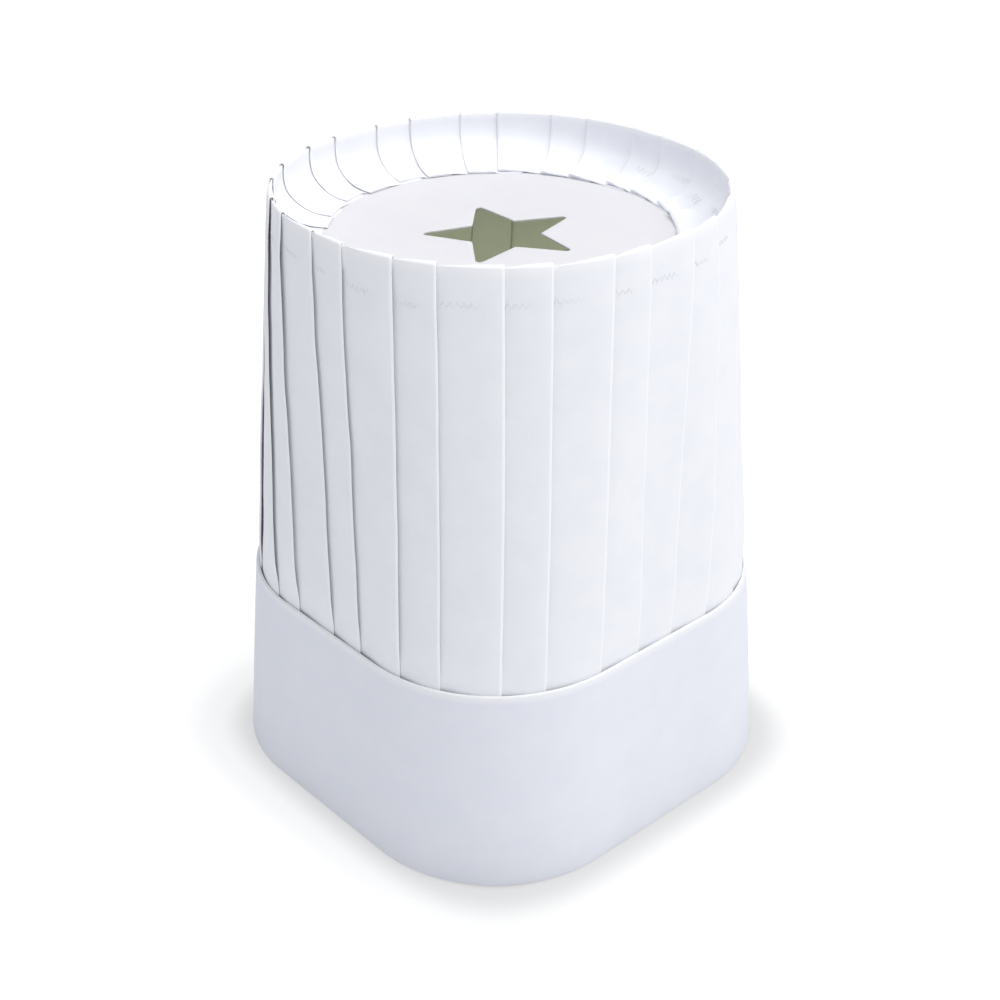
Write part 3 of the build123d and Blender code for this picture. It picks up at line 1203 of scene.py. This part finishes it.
@dataclass
class SizeClosure:
    """Details of the closure at the back: loops and hooks of the touch fastener, and stitches."""

    form: ToqueForm
    margin: float = 1.2 * MM
    loop_pitch: float = 1.15 * MM
    loop_width: float = 0.9 * MM
    loop_tall: float = 0.34 * MM
    loop_yarn: float = 0.05 * MM
    loop_proud: float = 0.66 * MM
    hook_pitch: float = 1.25 * MM
    hook_width: float = 0.7 * MM
    hook_tall: float = 0.24 * MM
    hook_yarn: float = 0.07 * MM
    hook_proud: float = 1.05 * MM
    hook_reach: float = 11.0 * MM
    middle_z: float = 40.0 * MM
    thread: float = 0.12 * MM
    stitch: float = 2.4 * MM
    stitch_gap: float = 1.0 * MM
    sleeve_proud: float = 0.5 * MM
    tongue_proud: float = 2.36 * MM

    def __post_init__(self) -> None:
        """Find the directions out of and up the leaning flat at the back."""
        lean = math.atan((self.form.base_half - self.form.band_top_half) / self.form.band_height)
        self.out = np.array([0.0, math.cos(lean), math.sin(lean)])
        self.up = np.array([0.0, -math.sin(lean), math.cos(lean)])

    def _back_point(self, x: float, z: float, proud: float) -> Array:
        """Find a point over the back of the band.

        Args:
            x: The point's place across the back.
            z: Its height.
            proud: Its distance outside the band's outer face.

        Returns:
            The point.
        """
        angle = np.array([math.atan2(self.form.base_half, x)])
        for _ in range(3):
            found = self.form.band_points(angle, np.array([z]), np.array([-proud]))[0]
            angle = angle + (found[0] - x) / self.form.base_half
        return found

    def _arch(self, centre: Array, across: Array, up: Array, yarn: float) -> Tube:
        """Make one small loop of yarn.

        Args:
            centre: The middle of its foot.
            across: Half its width, as a direction.
            up: Its height, as a direction.
            yarn: The yarn's radius.

        Returns:
            The vertices and the faces.
        """
        turn = np.linspace(0, math.pi, 6)[:, None]
        side = np.cross(across, up)
        return tube(centre + across * np.cos(turn) + up * np.sin(turn), side / np.linalg.norm(side), yarn, 4)

    def loops(self) -> Piece:
        """Make the loop pile on the loop strip.

        Returns:
            The piece.
        """
        rng = np.random.default_rng(SEED + 2)
        low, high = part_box("loop_strip")
        tubes = []
        for x in np.arange(low.x + self.margin, high.x - 1.0 * MM, self.loop_pitch):
            for z in np.arange(low.z + self.margin, high.z - 1.0 * MM, self.loop_pitch):
                at_x, at_z = x + rng.normal(0, 0.2) * MM, z + rng.normal(0, 0.2) * MM
                turn = rng.uniform(0, math.pi)
                across = self.loop_width / 2 * np.array([math.cos(turn), 0.0, math.sin(turn)])
                base = self._back_point(at_x, at_z, self.loop_proud)
                tall = self.loop_tall * rng.uniform(0.6, 1.0)
                tubes.append(self._arch(base, across, self.out * tall, self.loop_yarn))
        return join_tubes("loop_pile", tubes)

    def hooks(self) -> Piece:
        """Make the hooks on the hook strip's face towards the band.

        Returns:
            The piece.
        """
        low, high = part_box("hook_strip")
        mid_x = (low.x + high.x) / 2
        middle = self._back_point(mid_x, self.middle_z, self.hook_proud)
        half, tall = self.up * self.hook_width / 2, -self.out * self.hook_tall
        tubes = []
        for x in np.arange(low.x + self.margin, high.x - 1.0 * MM, self.hook_pitch):
            for rise in np.arange(-self.hook_reach, self.hook_reach + 0.1 * MM, self.hook_pitch):
                centre = middle + np.array([x - mid_x, 0.0, 0.0]) + self.up * rise
                tubes.append(self._arch(centre, half, tall, self.hook_yarn))
        return join_tubes("hook_field", tubes)

    def _stitch_run(self, name: str, corners: list[tuple[float, float]], proud: float) -> Piece:
        """Make stitches along straight runs between corners.

        Args:
            name: The piece's name.
            corners: The x and z of each corner.
            proud: Their distance outside the band's outer face.

        Returns:
            The piece.
        """
        tubes = []
        for (x0, z0), (x1, z1) in zip(corners, corners[1:]):
            count = max(1, round(math.hypot(x1 - x0, z1 - z0) / (self.stitch + self.stitch_gap)))
            for i in range(count):
                shares = np.linspace((i + 0.15) / count, (i + 0.85) / count, 7)
                lifts = proud + self.thread * np.sin(np.linspace(0, math.pi, 7))
                points = np.array([self._back_point(x0 + (x1 - x0) * s, z0 + (z1 - z0) * s, lift)
                                   for s, lift in zip(shares, lifts)])
                tubes.append(tube(points, self.out, self.thread))
        return join_tubes(name, tubes)

    def sleeve_stitches(self) -> Piece:
        """Make the stitches round the sleeve's flange, on its three closed sides.

        Returns:
            The piece.
        """
        (x0, _, z0), (x1, _, z1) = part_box("sleeve_stitching")
        inset = 0.25 * MM
        x0, z0, z1 = x0 + inset, z0 + inset, z1 - inset
        corners = [(x1, z0), (x0, z0), (x0, z1), (x1, z1)]
        return self._stitch_run("sleeve_stitches", corners, self.sleeve_proud)

    def tab_stitches(self) -> Piece:
        """Make the box of stitches that holds the hook strip to the tongue, seen on the tongue.

        Returns:
            The piece.
        """
        (x0, _, z0), (x1, _, z1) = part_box("hook_strip")
        inset = 1.6 * MM
        x0, z0, x1, z1 = x0 + inset, z0 + inset, x1 - inset, z1 - inset
        corners = [(x0, z0), (x1, z0), (x1, z1), (x0, z1), (x0, z0)]
        return self._stitch_run("tab_stitches", corners, self.tongue_proud)


@dataclass
class Studio:
    """Camera, lights, backdrop and floor. Directions are counter-clockwise from above."""

    azimuth: float = math.radians(47.9)
    pitch: float = math.radians(29.87)
    # The camera's place: to its right, away from it and up, from the hat's base
    eye: Place = (-0.00024, -0.5546, 0.4211)
    lens: float = 60.23
    key_around: float = math.radians(67.0)
    key_up: float = math.radians(57.0)
    key_away: float = 2.4
    key_aim: Place = (0.0, 0.0, 0.12)
    sky: Colour = (0.4, 0.418, 0.455)
    backdrop: Colour = (1.0, 1.0, 1.0)
    floor_size: float = 14.0
    # Off the hat's axis, which shifts the painted contact shadow towards +X
    floor_place: Place = (0.004, -0.001, 0.0)
    floor_grey: Colour = (0.25, 0.25, 0.25)
    floor_glow: float = 0.9
    glow_radius: float = 0.2
    # Share of the floor's glow at shares of the glow radius: none under the hat, and less close round it, a
    # painted contact shadow
    glow_and_shadow_stops: tuple = ((0.36, 0.0), (0.425, 0.58), (0.5, 0.84), (0.57, 0.94), (0.68, 1.0))

    def camera(self) -> None:
        """Set up the camera."""
        data = bpy.data.cameras.new("camera")
        data.lens, data.sensor_width = self.lens, 36.0
        data.clip_start, data.clip_end = 0.01, 50.0
        camera = link_new("camera", data)
        camera.location = Matrix.Rotation(self.azimuth, 3, "Z") @ Vector(self.eye)
        camera.rotation_euler = (math.pi / 2 - self.pitch, 0.0, self.azimuth)
        bpy.context.scene.camera = camera

    def _lamp(self, name: str, shape: str, size: float, power: float, colour: Colour) -> Piece:
        """Add an area lamp.

        Args:
            name: The lamp's name.
            shape: Its shape.
            size: Its size in metres.
            power: Its power in watts.
            colour: Its colour.

        Returns:
            The lamp.
        """
        data = bpy.data.lights.new(name, "AREA")
        data.shape, data.size, data.energy, data.color = shape, size, power, colour
        return link_new(name, data)

    def lights(self) -> None:
        """Set up the lights and the pale surroundings."""
        key = self._lamp("key", "SQUARE", 1.9, 31.5, (1.0, 0.99, 0.965))
        heading = self.azimuth - math.pi / 2 + self.key_around
        level = math.cos(self.key_up)
        back = Vector((math.cos(heading) * level, math.sin(heading) * level, math.sin(self.key_up)))
        key.location = Vector(self.key_aim) + back * self.key_away
        key.rotation_euler = back.to_track_quat("Z", "Y").to_euler()
        inside_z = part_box("crown_disc")[0].z - 0.012
        for name, place, size, power, colour in (
            ("crown_light", (0.0, -0.012, 0.51), 0.3, 0.44, (1.0, 0.995, 0.985)),
            ("glow_inside", (0.0, 0.0, inside_z), 0.12, 0.031, (0.92, 1.0, 0.55)),
        ):
            lamp = self._lamp(name, "DISK", size, power, colour)
            lamp.location = Matrix.Rotation(self.azimuth, 3, "Z") @ Vector(place)
            lamp.visible_camera = False
        world = bpy.data.worlds.new("pale_room")
        world.use_nodes = True
        bench = NodeBench(world.node_tree)
        seen = bench.add("LightPath")["Is Camera Ray"]
        bench.feed(world.node_tree.nodes["Background"], {"Color": bench.mix(seen, self.sky, self.backdrop)})
        bpy.context.scene.world = world
        bpy.context.scene.view_settings.view_transform = "Standard"

    def floor(self) -> None:
        """Lay the glowing floor, its glow taken away under and round the hat as a painted contact shadow."""
        bpy.ops.object.select_all(action="DESELECT")
        bpy.ops.mesh.primitive_plane_add(size=self.floor_size, location=self.floor_place)
        floor = bpy.context.object
        floor.name = "studio_floor"
        paint = bpy.data.materials.new("floor_white")
        paint.use_nodes = True
        bench = NodeBench(paint.node_tree)
        axes = bench.add("SeparateXYZ", {"Vector": bench.add("TexCoord")["Object"]})
        powers = [bench.math("POWER", bench.math("ABSOLUTE", axes[k]), 4.0) for k in "XY"]
        away = bench.math("POWER", bench.math("ADD", *powers), 0.25)
        # Painted contact shadow: the glow fades towards the hat's footprint
        glow = bench.add("ValToRGB", {"Fac": bench.math("MULTIPLY", away, 1.0 / self.glow_radius)})["Color"]
        ramp = glow.node.color_ramp
        ramp.interpolation = "EASE"
        for stop, share in self.glow_and_shadow_stops:
            ramp.elements.new(stop).color = (share, share, share, 1.0)
        bench.feed(paint.node_tree.nodes["Principled BSDF"], {
            "Base Color": self.floor_grey, "Roughness": 0.9, "Emission Color": self.backdrop,
            "Emission Strength": bench.math("MULTIPLY", glow, self.floor_glow)})
        floor.data.materials.append(paint)


def main() -> None:
    """Build the toque and its studio."""
    logging.basicConfig(level=logging.INFO, format="%(name)s: %(message)s")
    studio = Studio()
    studio.camera()
    form = ToqueForm.from_frame()
    for node, finish in (("band_stiffener", STIFFENER_CARD), ("tongue_sleeve", CLOSURE_PAPER),
                         ("size_tongue", CLOSURE_PAPER), ("loop_strip", FASTENER), ("hook_strip", FASTENER)):
        dress(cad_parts[node], finish)

    wall = PleatedWall(form)
    sheet = wall.build()
    place_on(sheet, WALL_SHEET, Body.HAT, "pleated_sheet", "pleated_wall")
    place_on(RimStitching(wall).build(), THREAD, Body.HAT, "thread", "rim_stitching")

    band = Headband(form)
    cover = band.build()
    place_on(cover, BAND_SHEET, Body.HAT, "band_cover", "headband_cover")

    sweatband = Sweatband(form)
    pad = sweatband.build()
    place_on(pad, TOWELLING, Body.HAT, "sweatband", "sweatband")
    place_on(sweatband.stitches(), THREAD, Body.HAT, "thread", "sweatband_stitching")

    tape = SeamTape(form)
    strip = tape.build()
    place_on(strip, SEAM_TAPE, Body.HAT, "tape", "back_seam_tape")

    place_on(CrownDisc().build(), DISC_CARD, Body.HAT, "disc_card", "crown_disc")

    closure = SizeClosure(form)
    place_on(closure.loops(), FASTENER, Body.HAT, "touch_fastener")
    place_on(closure.hooks(), FASTENER, Body.SIZE_TAB, "touch_fastener")
    place_on(closure.sleeve_stitches(), THREAD, Body.HAT, "thread", "sleeve_stitching")
    place_on(closure.tab_stitches(), THREAD, Body.SIZE_TAB, "thread")

    studio.floor()
    studio.lights()


if __name__ == "__main__":
    main()
